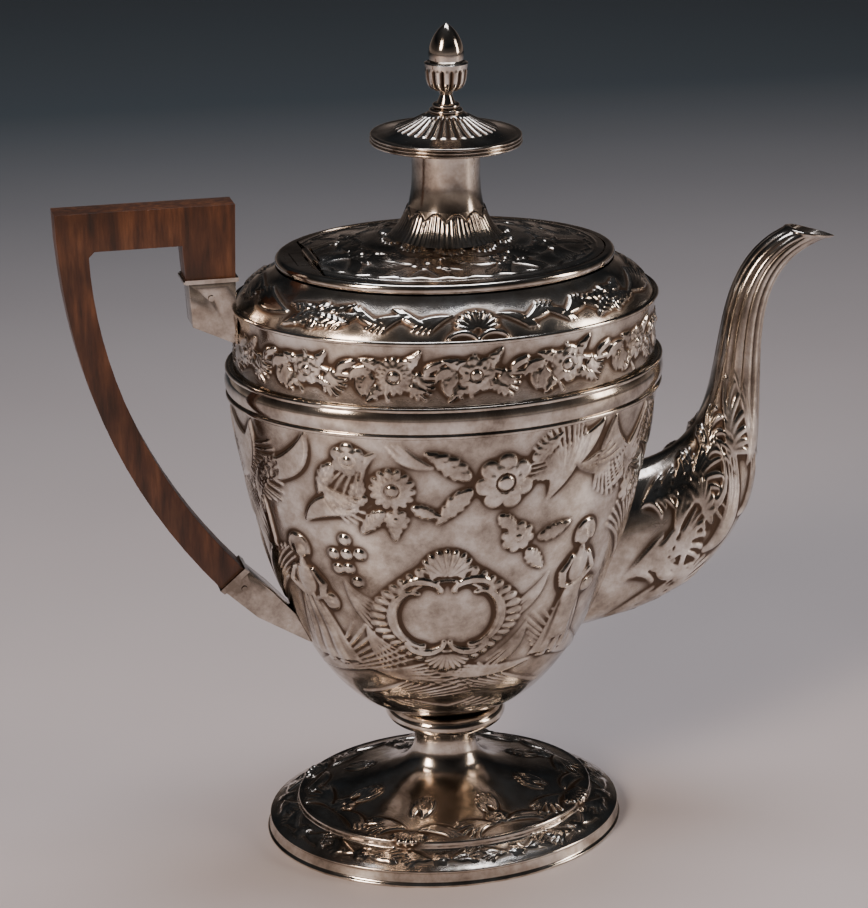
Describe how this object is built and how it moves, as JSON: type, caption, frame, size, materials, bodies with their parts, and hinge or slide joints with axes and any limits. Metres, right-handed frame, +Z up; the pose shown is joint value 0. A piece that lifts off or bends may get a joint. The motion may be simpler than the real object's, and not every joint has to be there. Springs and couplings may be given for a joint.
{
  "type": "coffee pot",
  "caption": "Oval urn-shaped chased silver coffee pot with a swan-neck spout, angular wooden handle and hinged domed lid that tips back on a flush hinge",
  "frame": {"origin": "centre of the pot's length and width, on the plane of the foot's flat underside", "axes": "+Z up, +X toward the spout, handle at -X, hinge axis along Y"},
  "size_m": [0.2864, 0.1218, 0.3058],
  "materials": {
    "silver": "polished",
    "fruitwood": "satin"
  },
  "bodies": {
    "pot": {"foot_rim": "silver", "foot": "silver", "collar": "silver", "bowl": "silver", "belt_lower_wire": "silver", "belt": "silver", "belt_upper_wire": "silver", "frieze": "silver", "shoulder_wire": "silver", "shoulder": "silver", "mouth_rim": "silver", "lid_bearer": "silver", "hinge_land": "silver", "hinge_leaf": "silver", "hinge_pin": "silver", "spout": "silver", "upper_socket": "silver", "upper_ferrule": "silver", "upper_pin": "silver", "handle": "fruitwood", "lower_ferrule": "silver", "lower_socket": "silver", "lower_pin": "silver"},
    "lid": {"lid_plate": "silver", "lid_bezel": "silver", "lid_knuckle": "silver", "lid_neck": "silver", "cap": "silver", "cap_edge": "silver", "finial_base": "silver", "finial_cup": "silver", "finial_acorn": "silver", "finial_stud": "silver", "finial_nut": "silver"}
  },
  "joints": [
    {"name": "lid_hinge", "type": "hinge", "parent": "pot", "child": "lid", "pos_m": [-0.0544, 0, 0.226], "axis": [0, -1, 0], "range_deg": [0, 80]}
  ]
}
